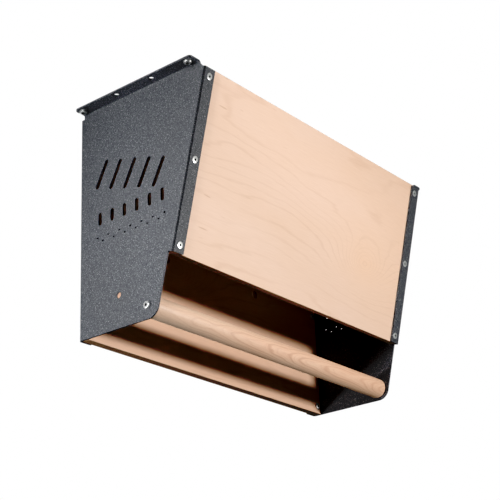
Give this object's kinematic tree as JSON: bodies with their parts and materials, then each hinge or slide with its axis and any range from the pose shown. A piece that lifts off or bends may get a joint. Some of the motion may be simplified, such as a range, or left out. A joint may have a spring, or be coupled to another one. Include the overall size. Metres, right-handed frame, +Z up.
{
  "type": "ceiling pull-up bar frame",
  "caption": "Ceiling-fixed training frame: folded steel side plates hold a sloping plywood front, an upright plywood back and a round wooden pull-up bar under them.",
  "frame": {"origin": "mid width, on the wall plane behind the rear flanges and the ceiling plane on top of the ceiling flanges", "axes": "+X to the right seen from the front, +Y towards the wall, +Z up; the front is -Y and everything hangs below Z = 0"},
  "size_m": [0.666, 0.275, 0.4],
  "materials": {
    "powder_coated_steel": "fine textured dark grey powder coat",
    "birch_plywood": "pale plywood face veneer, clear matt",
    "beech_wood": "sanded light brown hardwood, clear matt",
    "zinc_plated_steel": "bright zinc plated screws and nuts"
  },
  "bodies": {
    "root": {"side_plate_left": "powder_coated_steel", "side_plate_right": "powder_coated_steel", "front_panel": "birch_plywood", "back_panel": "birch_plywood", "pull_up_bar": "beech_wood", "front_screw_left_top": "zinc_plated_steel", "tee_nut_left_top": "zinc_plated_steel", "back_screw_left_top": "zinc_plated_steel", "front_screw_left_mid": "zinc_plated_steel", "tee_nut_left_mid": "zinc_plated_steel", "back_screw_left_mid": "zinc_plated_steel", "front_screw_left_bottom": "zinc_plated_steel", "tee_nut_left_bottom": "zinc_plated_steel", "back_screw_left_bottom": "zinc_plated_steel", "bar_screw_left": "zinc_plated_steel", "bar_insert_left": "zinc_plated_steel", "ceiling_screw_left_rear": "zinc_plated_steel", "ceiling_screw_left_front": "zinc_plated_steel", "front_screw_right_top": "zinc_plated_steel", "tee_nut_right_top": "zinc_plated_steel", "back_screw_right_top": "zinc_plated_steel", "front_screw_right_mid": "zinc_plated_steel", "tee_nut_right_mid": "zinc_plated_steel", "back_screw_right_mid": "zinc_plated_steel", "front_screw_right_bottom": "zinc_plated_steel", "tee_nut_right_bottom": "zinc_plated_steel", "back_screw_right_bottom": "zinc_plated_steel", "bar_screw_right": "zinc_plated_steel", "bar_insert_right": "zinc_plated_steel", "ceiling_screw_right_rear": "zinc_plated_steel", "ceiling_screw_right_front": "zinc_plated_steel"}
  },
  "joints": []
}
